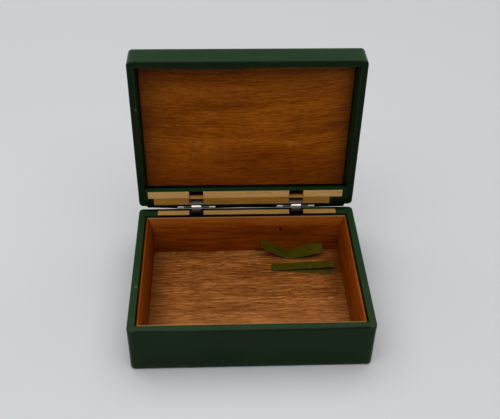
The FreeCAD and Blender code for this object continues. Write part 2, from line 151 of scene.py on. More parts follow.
def noise(tree, vector, scale, detail=2.0, roughness=0.5, distortion=0.0):
    inputs = {"Vector": vector, "Scale": scale, "Detail": detail}
    inputs |= {"Roughness": roughness, "Distortion": distortion}
    return put(tree, "ShaderNodeTexNoise", inputs).outputs["Fac"]


def stretch(tree, vector, scale, location=(0.0, 0.0, 0.0), turn=(0.0, 0.0, 0.0)):
    inputs = {"Vector": vector, "Scale": scale, "Location": location, "Rotation": turn}
    return put(tree, "ShaderNodeMapping", inputs).outputs["Vector"]


def spread(tree, value, low, high, toLow=0.0, toHigh=1.0):
    # maps the span from low to high onto another span
    inputs = {"Value": value, "From Min": low, "From Max": high, "To Min": toLow, "To Max": toHigh}
    return put(tree, "ShaderNodeMapRange", inputs).outputs["Result"]


def mixColour(tree, factor, first, second):
    inputs = {0: factor, 6: first, 7: second}  # by number, because these sockets share their names
    return put(tree, "ShaderNodeMix", inputs, data_type="RGBA").outputs[2]


def ramp(tree, value, stops):
    # colour ramp from (position, colour) pairs
    node = put(tree, "ShaderNodeValToRGB", {"Fac": value})
    elements = node.color_ramp.elements
    while len(elements) < len(stops):
        elements.new(0.5)
    for element, (position, colour) in zip(elements, stops):
        element.position = position
        element.color = opaque(colour)
    return node.outputs["Color"]


def newMaterial(name, **constants):
    # material with one shader, whose constant sockets are set at once
    material = bpy.data.materials.new(name)
    material.use_nodes = True
    tree = material.node_tree
    tree.nodes.clear()
    shader = put(tree, "ShaderNodeBsdfPrincipled")
    for key, value in constants.items():
        shader.inputs[key.replace("_", " ")].default_value = value
    output = put(tree, "ShaderNodeOutputMaterial")
    tree.links.new(shader.outputs["BSDF"], output.inputs["Surface"])
    return material, tree, shader


def objectPlace(tree):
    return put(tree, "ShaderNodeTexCoord").outputs["Object"]


def opaque(colour):
    return (*colour, 1.0)


def mark(tree, label):
    # one of the values that a mesh has at its points
    return put(tree, "ShaderNodeAttribute", attribute_name=label).outputs["Fac"]


def bump(tree, shader, height, distance):
    node = put(tree, "ShaderNodeBump", {"Height": height, "Distance": distance, "Strength": 1.0})
    tree.links.new(node.outputs["Normal"], shader.inputs["Normal"])


def newGroup(name, inputs, outputs):
    # node group with float inputs, after a vector input
    tree = bpy.data.node_groups.new(name, "ShaderNodeTree")
    tree.interface.new_socket("Vector", in_out="INPUT", socket_type="NodeSocketVector")
    for label, value in inputs.items():
        socket = tree.interface.new_socket(label, in_out="INPUT", socket_type="NodeSocketFloat")
        socket.default_value = value
    for label in outputs:
        tree.interface.new_socket(label, in_out="OUTPUT", socket_type="NodeSocketFloat")
    return tree, put(tree, "NodeGroupInput").outputs, put(tree, "NodeGroupOutput").inputs


def useGroup(tree, group, inputs):
    return put(tree, "ShaderNodeGroup", inputs, node_tree=group).outputs


# Board grain, shared by all the woods, along X: broad bands, fine streaks, and pores as short dark
# dashes. A bow bends the grain up towards its ends, as height = bow * x * x.

boardFibre = {
    "bandSqueeze": 0.14, "poreSqueeze": 0.15, "poreFade": 0.1,
    "fibreSqueeze": 0.03, "fibreScale": 2200.0, "fibreShare": 0.2, "fibreHeight": 0.4,
}


def makeBoardGrain(fibres):
    sizes = {
        "Bow": 0.0, "Band Scale": 60.0, "Band Share": 0.6, "Streak Scale": 500.0, "Streak Share": 0.5,
        "Streak Squeeze": 0.08, "Pore Scale": 900.0, "Pore Cut": 0.6,
    }
    tree, given, out = newGroup("boardGrain", sizes, ("Tone", "Pores", "Height"))

    def alongGrain(squeeze):
        ratios = {"X": squeeze, "Y": 1.0, "Z": 1.0}
        return stretch(tree, place, put(tree, "ShaderNodeCombineXYZ", ratios).outputs["Vector"])

    apart = put(tree, "ShaderNodeSeparateXYZ", {"Vector": given["Vector"]}).outputs
    bowed = calc(tree, "MULTIPLY", calc(tree, "MULTIPLY", apart["X"], apart["X"]), given["Bow"])
    bent = {"X": apart["X"], "Y": apart["Y"], "Z": calc(tree, "SUBTRACT", apart["Z"], bowed)}
    place = put(tree, "ShaderNodeCombineXYZ", bent).outputs["Vector"]
    bands = noise(tree, alongGrain(fibres["bandSqueeze"]), given["Band Scale"], 3.0, 0.5, 0.5)
    streaks = noise(tree, alongGrain(given["Streak Squeeze"]), given["Streak Scale"], 3.0, 0.6, 0.2)
    fibre = noise(tree, alongGrain(fibres["fibreSqueeze"]), fibres["fibreScale"], 2.0, 0.6)
    dashes = noise(tree, alongGrain(fibres["poreSqueeze"]), given["Pore Scale"])
    poreEnd = calc(tree, "ADD", given["Pore Cut"], fibres["poreFade"])
    pores = spread(tree, dashes, given["Pore Cut"], poreEnd)
    shares = (
        (bands, given["Band Share"]), (streaks, given["Streak Share"]), (fibre, fibres["fibreShare"]),
    )
    tone = 0.5
    for value, share in shares:
        tone = calc(tree, "MULTIPLY_ADD", calc(tree, "SUBTRACT", value, 0.5), share, tone)
    height = calc(tree, "SUBTRACT", calc(tree, "MULTIPLY", fibre, fibres["fibreHeight"]), pores)
    for label, value in (("Tone", tone), ("Pores", pores), ("Height", height)):
        tree.links.new(value, out[label])
    return tree


boardGrain = makeBoardGrain(boardFibre)
wanderScale = 30.0  # of the slow noise that moves the border of a painted band
wanderSqueeze = 0.4


def withPaintedLightAndTone(tree, colour, paintedLightAndTone):
    # each band takes over by its share where one coordinate passes from the first of two levels to
    # the last; its border wanders by so many millimetres. Most bands are painted light and painted shade;
    # one is a darker tone of the panel wood
    for axis, (first, last), share, tint, wander in paintedLightAndTone:
        place = objectPlace(tree)
        level = put(tree, "ShaderNodeSeparateXYZ", {"Vector": place}).outputs[axis]
        if wander:
            slow = noise(tree, stretch(tree, place, (wanderSqueeze, 1.0, 1.0)), wanderScale)
            level = calc(tree, "MULTIPLY_ADD", calc(tree, "SUBTRACT", slow, 0.5), wander * mm, level)
        amount = spread(tree, level, first * mm, last * mm, 0.0, share)
        colour = mixColour(tree, amount, colour, opaque(tint))
    return colour


def spotted(tree, colour, spots):
    # each spot takes over by its share inside the near one of two distances from its centre, and
    # ends at the far one
    for centre, (near, far), share, tint in spots:
        ends = {0: objectPlace(tree), 1: tuple(value * mm for value in centre)}
        away = put(tree, "ShaderNodeVectorMath", ends, operation="DISTANCE").outputs["Value"]
        amount = spread(tree, away, near * mm, far * mm, share, 0.0)
        colour = mixColour(tree, amount, colour, opaque(tint))
    return colour


middleTones = (0.3, 0.7)  # most of a noise lies between these


def woodMaterial(wood):
    material, tree, shader = newMaterial(wood["name"], Specular_IOR_Level=wood["gloss"])
    place = stretch(tree, objectPlace(tree), (1.0, 1.0, 1.0), wood["shift"], wood["turn"])
    grain = useGroup(tree, boardGrain, {"Vector": place, **wood["grain"]})
    colour = ramp(tree, grain["Tone"], wood["tones"])
    dark = calc(tree, "MULTIPLY", grain["Pores"], wood["poreDepth"])
    colour = mixColour(tree, dark, colour, opaque(wood["poreColour"]))
    colour = spotted(tree, withPaintedLightAndTone(tree, colour, wood["paintedLightAndTone"]), wood["spots"])
    tree.links.new(colour, shader.inputs["Base Color"])
    low, high = wood["roughness"]
    rough = spread(tree, grain["Tone"], *middleTones, high, low)
    tree.links.new(rough, shader.inputs["Roughness"])
    bump(tree, shader, grain["Height"], wood["relief"] * mm)
    return material


alongY = (0.0, 0.0, math.pi / 2)
panelWood = {
    "name": "panelWood", "gloss": 0.08, "shift": (0.012, -0.065, -0.09), "turn": (0.0, 0.0, 0.0),
    "grain": {
        "Bow": 1.0, "Band Scale": 60.0, "Band Share": 1.0, "Streak Scale": 1500.0, "Streak Share": 0.9,
        "Streak Squeeze": 0.06, "Pore Scale": 1600.0, "Pore Cut": 0.55,
    },
    "tones": ((0.28, (0.22, 0.050, 0.0022)), (0.5, (0.43, 0.112, 0.0050)), (0.72, (0.60, 0.185, 0.013))),
    "poreDepth": 0.6, "poreColour": (0.12, 0.022, 0.001), "roughness": (0.42, 0.55), "relief": 0.03,
    "spots": (),
    # painted shade towards the panel's left and right edges and its top, where the lid's walls shade it;
    # darker and redder towards the bottom
    "paintedLightAndTone": (
        ("X", (-48.0, -70.0), 0.7, (0.07, 0.016, 0.001), 0.0),
        ("X", (54.0, 68.0), 0.6, (0.06, 0.018, 0.002), 0.0),
        ("X", (63.0, 68.0), 0.5, (0.05, 0.015, 0.002), 0.0),
        ("Z", (108.0, 142.0), 0.4, (0.13, 0.032, 0.003), 30.0),
        ("Z", (88.0, 74.0), 0.4, (0.19, 0.034, 0.001), 40.0),
    ),
}
floorWood = {
    "name": "floorWood", "gloss": 0.04, "shift": (0.03, 0.02, 0.07), "turn": (0.0, 0.0, math.radians(-1.0)),
    "grain": {
        "Band Scale": 110.0, "Band Share": 0.5, "Streak Scale": 1500.0, "Streak Share": 1.2,
        "Streak Squeeze": 0.05, "Pore Scale": 1650.0, "Pore Cut": 0.52,
    },
    "tones": ((0.28, (0.100, 0.026, 0.0030)), (0.5, (0.245, 0.080, 0.0145)), (0.72, (0.44, 0.170, 0.044))),
    "poreDepth": 0.65, "poreColour": (0.075, 0.017, 0.002), "roughness": (0.5, 0.65), "relief": 0.04,
    # painted shade on the floor beside the folded strip's end, in the corner at the right liner
    "spots": (((65.5, 30.0, 4.2), (4.0, 20.0), 0.8, (0.095, 0.019, 0.001)),),
    # painted light towards the front, painted shade towards the left and right ends beside the liners
    "paintedLightAndTone": (
        ("Y", (0.0, -48.0), 0.4, (0.42, 0.175, 0.060), 0.0),
        ("X", (-48.0, -66.0), 0.5, (0.11, 0.024, 0.001), 0.0),
        ("X", (54.0, 66.0), 0.35, (0.11, 0.026, 0.001), 0.0),
    ),
}
linerWood = {
    "name": "linerWood", "gloss": 0.04, "shift": (0.0, 0.05, 0.03), "turn": (0.0, 0.0, 0.0),
    "grain": {
        "Band Scale": 70.0, "Band Share": 0.6, "Streak Scale": 600.0, "Streak Share": 1.0,
        "Pore Scale": 1000.0, "Pore Cut": 0.56,
    },
    "tones": ((0.3, (0.125, 0.023, 0.0010)), (0.5, (0.205, 0.041, 0.0018)), (0.7, (0.28, 0.064, 0.0040))),
    "poreDepth": 0.35, "poreColour": (0.09, 0.016, 0.001), "roughness": (0.4, 0.52), "relief": 0.03,
    "spots": (),
    # painted light on the upper bevel, and a painted highlight along the top edge
    "paintedLightAndTone": (
        ("Z", (27.5, 31.0), 0.5, (0.34, 0.095, 0.011), 0.0),
        ("Z", (33.0, 33.25), 0.5, (0.28, 0.185, 0.092), 0.0),
    ),
}
backLinerWood = {
    **linerWood, "name": "backLinerWood",  # bruised beside the old nail hole, with painted shade inside it
    "spots": (
        ((22.6, 45.5, 23.6), (0.6, 2.2), 0.5, (0.34, 0.105, 0.014)),
        ((23.9, 47.1, 24.2), (1.7, 2.1), 0.95, (0.012, 0.005, 0.001)),
    ),
}
sideLinerWood = {
    **linerWood, "turn": alongY,
    # painted light on the upper bevel
    "paintedLightAndTone": (("Z", (27.5, 31.0), 0.2, (0.26, 0.06, 0.003), 0.0),),
}
leftLinerWood = {
    **sideLinerWood, "name": "leftLinerWood",
    # darker tones than the right liner's: painted shade on the left liner's face
    "tones": ((0.3, (0.095, 0.016, 0.0006)), (0.5, (0.155, 0.029, 0.0011)), (0.7, (0.21, 0.046, 0.0026))),
}
bareWood = {
    "name": "bareWood", "gloss": 0.08, "shift": (0.01, 0.03, 0.02), "turn": (0.0, 0.0, 0.0),
    "grain": {
        "Band Scale": 90.0, "Band Share": 0.5, "Streak Scale": 700.0, "Streak Share": 0.5,
        "Pore Scale": 1300.0, "Pore Cut": 0.6,
    },
    "tones": ((0.3, (0.62, 0.350, 0.110)), (0.5, (0.78, 0.470, 0.160)), (0.7, (0.87, 0.56, 0.225))),
    "poreDepth": 0.3, "poreColour": (0.26, 0.12, 0.035), "roughness": (0.55, 0.7), "relief": 0.03,
    "paintedLightAndTone": (), "spots": (),
}
shadowBrown = (0.012, 0.007, 0.003)
baseBackWood = {
    **bareWood, "name": "baseBackWood",
    "paintedLightAndTone": (("Z", (34.7, 34.5), 1.0, shadowBrown, 0.0),),  # painted shade below its rim, in the notches
    "tones": ((0.3, (0.30, 0.162, 0.042)), (0.5, (0.40, 0.225, 0.061)), (0.7, (0.48, 0.285, 0.085))),
}
battenWood = {
    **bareWood, "name": "battenWood",
    "paintedLightAndTone": (("Y", (61.4, 61.9), 1.0, shadowBrown, 0.0),),  # painted shade deep in the notches
    # tones lighter than the bare wood's: painted light on the batten's face
    "tones": ((0.3, (0.82, 0.475, 0.145)), (0.5, (0.94, 0.585, 0.200)), (0.7, (0.98, 0.66, 0.26))),
}
# the lid's back wall keeps the batten's painted shade deep in the notches
lidBackWood = {
    **battenWood, "name": "lidBackWood",
    "tones": ((0.3, (0.40, 0.185, 0.028)), (0.5, (0.54, 0.270, 0.046)), (0.7, (0.64, 0.34, 0.068))),
}
topBoardWood = {
    **bareWood, "name": "topBoardWood",
    "paintedLightAndTone": (("Y", (66.6, 66.3), 0.95, shadowBrown, 0.0),),  # painted shade in the gap round the panel
}


# Leathercloth: fine pebbled grain and faint clouding. The green has rubbed edges where the mark "wear"
# is high, and painted shade where its shade mark is high. The olive shows its backing where "cut"
# is high.

pebbleDepth = 0.7  # of the pebbles, against the grit on them
gritRatio = 0.4  # grit's scale against the pebbles'


def makeLeatherGrain():
    sizes = {"Pebble Scale": 1900.0, "Cloud Scale": 30.0}
    tree, given, out = newGroup("leatherGrain", sizes, ("Cloud", "Height"))
    cells = {"Vector": given["Vector"], "Scale": given["Pebble Scale"]}
    pebble = put(tree, "ShaderNodeTexVoronoi", cells).outputs["Distance"]
    gritScale = calc(tree, "MULTIPLY", given["Pebble Scale"], gritRatio)
    grit = noise(tree, given["Vector"], gritScale, 3.0)
    tree.links.new(noise(tree, given["Vector"], given["Cloud Scale"], 3.0, 0.55), out["Cloud"])
    tree.links.new(calc(tree, "MULTIPLY_ADD", pebble, pebbleDepth, grit), out["Height"])
    return tree


leatherGrain = makeLeatherGrain()
greenCloth = {
    "name": "greenLeathercloth", "gloss": 0.07, "grain": {}, "clouding": (0.3, 0.7),
    "deep": (0.0082, 0.0280, 0.0082), "light": (0.0110, 0.0352, 0.0110),
    "roughness": (0.18, 0.26), "relief": 0.015,
    "rubbed": (0.045, 0.070, 0.040), "wornShare": (0.12, 0.55),
    "scuffScale": 240.0, "scuffing": (0.52, 0.68),
    "paintedShade": (0.002, 0.0035, 0.0015), "paintedLightAndTone": (),
    "spots": (
        ((-71.6, -20.0, 35.0), (0.3, 1.3), 0.55, (0.10, 0.15, 0.08)),
        ((-71.4, 58.0, 115.6), (0.3, 1.2), 0.6, (0.12, 0.17, 0.12)),
        ((-17.5, -57.5, 6.2), (0.3, 0.9), 0.6, (0.14, 0.17, 0.14)),
    ),
}
facingCloth = {
    **greenCloth, "name": "facingLeathercloth",
    # painted shade towards the panel, in the slot under it
    "paintedLightAndTone": (("Y", (60.8, 62.2), 0.95, (0.002, 0.003, 0.001), 0.0),),
}
oliveCloth = {
    "name": "oliveLeathercloth", "gloss": 0.03, "clouding": (0.32, 0.68),
    "grain": {"Pebble Scale": 2400.0, "Cloud Scale": 160.0},
    "deep": (0.038, 0.029, 0.0005), "light": (0.060, 0.050, 0.0009), "backing": (0.15, 0.135, 0.05),
    "roughness": (0.5, 0.62), "relief": 0.04,
}


def clothMaterial(cloth):
    # what both cloths share; also gives the clouded colour, for marks to be put on it
    material, tree, shader = newMaterial(cloth["name"], Specular_IOR_Level=cloth["gloss"])
    grain = useGroup(tree, leatherGrain, {"Vector": objectPlace(tree), **cloth["grain"]})
    cloud = spread(tree, grain["Cloud"], *cloth["clouding"])
    colour = mixColour(tree, cloud, opaque(cloth["deep"]), opaque(cloth["light"]))
    rough = spread(tree, grain["Cloud"], *middleTones, *cloth["roughness"])
    tree.links.new(rough, shader.inputs["Roughness"])
    bump(tree, shader, grain["Height"], cloth["relief"] * mm)
    return material, tree, shader, colour


def greenMaterial(cloth):
    material, tree, shader, colour = clothMaterial(cloth)
    scuff = noise(tree, objectPlace(tree), cloth["scuffScale"], 4.0, 0.65)
    least, added = cloth["wornShare"]
    share = calc(tree, "MULTIPLY_ADD", spread(tree, scuff, *cloth["scuffing"]), added, least)
    rubbed = calc(tree, "MULTIPLY", mark(tree, "wear"), share)
    colour = mixColour(tree, rubbed, colour, opaque(cloth["rubbed"]))
    # painted shade, dark where the shade mark is high
    colour = mixColour(tree, mark(tree, "paintedShade"), colour, opaque(cloth["paintedShade"]))
    colour = spotted(tree, withPaintedLightAndTone(tree, colour, cloth["paintedLightAndTone"]), cloth["spots"])
    tree.links.new(colour, shader.inputs["Base Color"])
    return material


def oliveMaterial(cloth):
    material, tree, shader, colour = clothMaterial(cloth)
    colour = mixColour(tree, mark(tree, "cut"), colour, opaque(cloth["backing"]))
    tree.links.new(colour, shader.inputs["Base Color"])
    return material


hingeSteel = {
    "name": "sheetSteel", "metal": 0.8, "grey": (0.46, 0.43, 0.37), "brown": (0.30, 0.25, 0.19),
    "patchScale": 320.0, "patches": (0.35, 0.65), "brushScale": 3000.0, "brushSqueeze": 0.05,
    "roughness": (0.24, 0.38), "brushRoughness": 0.1, "relief": 0.01,
    # painted shade low in the notches
    "paintedLightAndTone": (("Z", (33.6, 32.4), 0.95, (0.010, 0.009, 0.008), 0.0),),
}
strapSteel = {
    **hingeSteel, "name": "strapSteel", "grey": (0.90, 0.84, 0.76), "brown": (0.72, 0.66, 0.58),
    # painted shade on the lower part of the strap's bend, which faces down, and low in the notches
    "paintedLightAndTone": (("Z", (38.5, 37.8), 0.9, (0.10, 0.09, 0.078), 0.0), *hingeSteel["paintedLightAndTone"]),
}
leafSteel = {
    **hingeSteel, "name": "leafSteel", "metal": 0.3,
    "grey": (0.38, 0.345, 0.29), "brown": (0.26, 0.22, 0.17),
    # painted shade low down, under the lid's folded edge
    "paintedLightAndTone": (("Z", (37.4, 36.6), 0.9, (0.010, 0.009, 0.008), 0.0),),
}


def steelMaterial(steel):
    # dull sheet steel, brushed along the hinge, browned in patches, with painted shade low in the notches
    material, tree, shader = newMaterial(steel["name"], Metallic=steel["metal"])
    place = objectPlace(tree)
    streak = noise(tree, stretch(tree, place, (steel["brushSqueeze"], 1.0, 1.0)), steel["brushScale"])
    patch = noise(tree, place, steel["patchScale"], 3.0)
    grey = spread(tree, patch, *steel["patches"])
    colour = mixColour(tree, grey, opaque(steel["brown"]), opaque(steel["grey"]))
    tree.links.new(withPaintedLightAndTone(tree, colour, steel["paintedLightAndTone"]), shader.inputs["Base Color"])
    low, high = steel["roughness"]
    rough = spread(tree, patch, *middleTones, high, low)
    rough = calc(tree, "MULTIPLY_ADD", streak, steel["brushRoughness"], rough)
    tree.links.new(rough, shader.inputs["Roughness"])
    bump(tree, shader, streak, steel["relief"] * mm)
    return material


flock = {
    "name": "flockedSheet", "sheen": 0.25, "gloss": 0.1, "pileScale": 2600.0, "shadeScale": 60.0,
    "deep": (0.010, 0.034, 0.016), "light": (0.018, 0.056, 0.028), "root": (0.006, 0.02, 0.010),
    "roughness": (0.85, 0.98), "relief": 0.12,
}


def flockMaterial(cloth):
    # short dense pile: dark at its root, shaded slowly
    material, tree, shader = newMaterial(
        cloth["name"], Sheen_Weight=cloth["sheen"], Specular_IOR_Level=cloth["gloss"],
    )
    place = objectPlace(tree)
    pile = noise(tree, place, cloth["pileScale"], 3.0, 0.6)
    shade = noise(tree, place, cloth["shadeScale"], 3.0)
    colour = mixColour(tree, shade, opaque(cloth["deep"]), opaque(cloth["light"]))
    tree.links.new(mixColour(tree, pile, colour, opaque(cloth["root"])), shader.inputs["Base Color"])
    rough = spread(tree, pile, *middleTones, *cloth["roughness"])
    tree.links.new(rough, shader.inputs["Roughness"])
    bump(tree, shader, pile, cloth["relief"] * mm)
    return material


materials = {
    "green_cover": greenMaterial(greenCloth),
    "olive_strip": oliveMaterial(oliveCloth),
    "panel_wood": woodMaterial(panelWood),
    "floor_wood": woodMaterial(floorWood),
    "liner_wood": woodMaterial(linerWood),
    "bare_wood": woodMaterial(bareWood),
    "hinge_steel": steelMaterial(hingeSteel),
    "underside_cloth": flockMaterial(flock),
}
ownFinish = {
    "liner_back": woodMaterial(backLinerWood),
    "liner_left": woodMaterial(leftLinerWood),
    "liner_right": woodMaterial({**sideLinerWood, "name": "rightLinerWood", "shift": (0.2, 0.05, 0.03)}),
    "lid_back_wall": woodMaterial(lidBackWood),
    "lid_batten": woodMaterial(battenWood),
    "lid_top_board": woodMaterial(topBoardWood),
    "base_back_wall": woodMaterial(baseBackWood),
    "batten_facing": greenMaterial(facingCloth),
    **dict.fromkeys(("left_hinge_spring", "right_hinge_spring"), steelMaterial(strapSteel)),
    **dict.fromkeys(("left_hinge_lid_leaf", "right_hinge_lid_leaf"), steelMaterial(leafSteel)),
}
slots = {row["node"]: row["material_slot"] for row in frame["record"]["subparts"]}
finishes = {label: ownFinish.get(label, materials[slots[label]]) for label in nodes}
for label, node in nodes.items():
    node.data.materials.clear()
    node.data.materials.append(finishes[label])
print("materials made:", len(materials) + len(ownFinish))


# Covers: one closed skin for each half. Its two parameters are the way round a rounded rectangle
# and the way along the section: closed face, wall, rim, turned-in inner face, then back along the
# wood. Behind, the rim is cut back in steps to the hinges and to the bare wood of the back wall.

coverShape = {
    "cornerRadius": 3.0, "edgeRound": 0.8, "innerRound": 0.5, "innerCorner": 0.8,
    "turnIn": 0.6, "backRoom": 0.02, "straightEnd": 0.9, "notchRoom": 1.7, "ripple": 0.05,
    "edgeSteps": 4, "cornerSteps": 6, "wallSteps": 8, "innerSteps": 3, "sideStep": 3.2, "stopGap": 0.8,
    "faceScales": (0.25, 0.5, 0.75, 0.9, 0.97), "rimShares": (0.33, 0.67),
    "edgeWear": 1.0, "rimEdgeWear": 0.6, "rimWear": 0.1, "innerWear": 0.25, "cornerWear": 0.55,
    "recess": 6.0, "leanEnd": 43.0,
}
creaseAngles = {"cover": 40, "board": 30, "strip": 50}  # degrees


def ringPoints(rect, radius, stopsX, stopsY, steps):
    # rounded rectangle seen from above, counter-clockwise from the front left: each side has fixed
    # stops, each corner is a quarter circle of that radius
    lowX, highX, lowY, highY = rect
    angles = np.linspace(0.0, math.pi / 2, steps + 1)
    sides = (
        np.stack([stopsX, np.full_like(stopsX, lowY)], 1),
        np.stack([np.full_like(stopsY, highX), stopsY], 1),
        np.stack([stopsX[::-1], np.full_like(stopsX, highY)], 1),
        np.stack([np.full_like(stopsY, lowX), stopsY[::-1]], 1),
    )
    centres = (
        (highX - radius, lowY + radius), (highX - radius, highY - radius),
        (lowX + radius, highY - radius), (lowX + radius, lowY + radius),
    )
    parts = []
    for quarter, (side, centre) in enumerate(zip(sides, centres)):
        turn = angles + (quarter - 1) * math.pi / 2
        arc = np.array(centre) + radius * np.stack([np.cos(turn), np.sin(turn)], 1)
        parts += [side, arc]
    return np.concatenate(parts)


def ringNormals(ring):
    # outward directions along a closed ring, from the points on either side
    along = np.roll(ring, -1, 0) - np.roll(ring, 1, 0)
    sideways = np.stack([along[:, 1], -along[:, 0]], 1)
    return sideways / np.linalg.norm(sideways, axis=1, keepdims=True)


def grown(rect, by):
    return (rect[0] - by, rect[1] + by, rect[2] - by, rect[3] + by)


def rectAt(first, last, rear):
    # rectangle on the way from the first to the last that has its rear side at that y
    share = (first[3] - rear) / (first[3] - last[3])
    return tuple(np.array(first) + (np.array(last) - np.array(first)) * share), share


def coverRows(half, shape):
    # section of the cover as rows of (rectangle, corner radius, height from the closed face, scale,
    # wear), and the chords across it, from outside to inside, as pairs of row numbers
    outer, inner, wood, woodIn = half["outer"], half["inner"], half["wood"], half["woodIn"]
    tall, thick = half["height"], half["thickness"]
    corner, edge, soft = shape["cornerRadius"], shape["edgeRound"], shape["innerRound"]
    rise = np.linspace(0.0, math.pi / 2, shape["edgeSteps"] + 1)
    rows = [(grown(outer, -edge), corner - edge, 0.0, scale, 0.0) for scale in shape["faceScales"]]
    for a in rise:
        inset = edge * (1 - math.sin(a))
        height = edge * (1 - math.cos(a))
        rows.append((grown(outer, -inset), corner - inset, height, 1.0, shape["edgeWear"]))
    for height in np.linspace(edge, tall - thick, shape["wallSteps"])[1:]:
        rows.append((outer, corner, height, 1.0, 0.0))
    wallEnd = len(rows) - 1
    for a in rise:
        inset = edge * (1 - math.cos(a))
        height = tall - edge + edge * math.sin(a)
        rows.append((grown(outer, -inset), corner - inset, height, 1.0, shape["rimEdgeWear"]))
    start, end = grown(outer, -edge), grown(inner, soft)
    innerRadius = shape["innerCorner"]
    startRadius, endRadius = corner - edge, innerRadius + soft
    cuts = [y for y, spans in half["gaps"]]
    chordStarts = [len(rows) + step for step in range(len(cuts))]
    between = [cuts[-1] + (end[3] - cuts[-1]) * share for share in shape["rimShares"]]
    for y in cuts + between:
        rect, share = rectAt(start, end, y)
        radius = startRadius + (endRadius - startRadius) * share
        rows.append((rect, radius, tall, 1.0, shape["rimWear"]))
    for a in rise:
        out = soft * (1 - math.sin(a))
        height = tall - soft * (1 - math.cos(a))
        rows.append((grown(inner, out), innerRadius + out, height, 1.0, shape["innerWear"]))
    for height in np.linspace(tall - soft, tall - half["turnDepth"], shape["innerSteps"] + 1)[1:]:
        rows.append((inner, innerRadius, height, 1.0, 0.0))
    woodRadius = corner - thick
    rows.append((woodIn, innerRadius, tall - half["turnDepth"], 1.0, 0.0))
    rows.append((woodIn, innerRadius, tall - thick, 1.0, 0.0))
    chordEnds = []
    for y in cuts[::-1]:
        if y < wood[3] - 0.01:  # a cut further out ends on the wood's own edge
            rect, share = rectAt(wood, woodIn, y)
            radius = woodRadius + (innerRadius - woodRadius) * share
            rows.append((rect, radius, tall - thick, 1.0, 0.0))
            chordEnds.append(len(rows) - 1)
    rows.append((wood, woodRadius, tall - thick, 1.0, 0.0))
    chordEnds += [len(rows) - 1] * (len(chordStarts) - len(chordEnds))
    rows.append((wood, woodRadius, thick, 1.0, 0.0))
    rows.append((wood, woodRadius, thick, 0.5, 0.0))
    return rows, wallEnd, list(zip(chordStarts, chordEnds[::-1]))


def within(values, spans):
    return np.any([(values > low) & (values < high) for low, high in spans], axis=0)


def rearFaces(rearX, rear, chords, gaps, count):
    # faces of the rear side, between columns rear and rear + len(rearX) - 1: the chords split the
    # section into cells, each cell is left out over its own spans of x, and chords and ends are closed
    middles = (rearX[1:] + rearX[:-1]) / 2
    present = np.array([np.ones(len(middles), bool)] + [~within(middles, spans) for y, spans in gaps])
    faces = []
    for cell, (near, far) in enumerate(chords):
        outside, inside = present[cell], present[cell + 1]
        for bare, flip in ((outside & ~inside, 1), (inside & ~outside, -1)):
            column = rear + np.flatnonzero(bare)
            nearSide, farSide = near * count + column, far * count + column
            quads = np.stack([nearSide, nearSide + 1, farSide + 1, farSide], -1)
            faces += quads[:, ::flip].tolist()
        inner = chords[cell + 1] if cell + 1 < len(chords) else (far - 1, far)
        rows = np.concatenate([np.arange(near, inner[0] + 1), np.arange(inner[1], far + 1)])
        edges = np.flatnonzero(inside[1:] != inside[:-1]) + 1
        for edge in edges:
            polygon = rows * count + rear + edge
            faces.append((polygon[::-1] if inside[edge - 1] else polygon).tolist())
    return present, faces


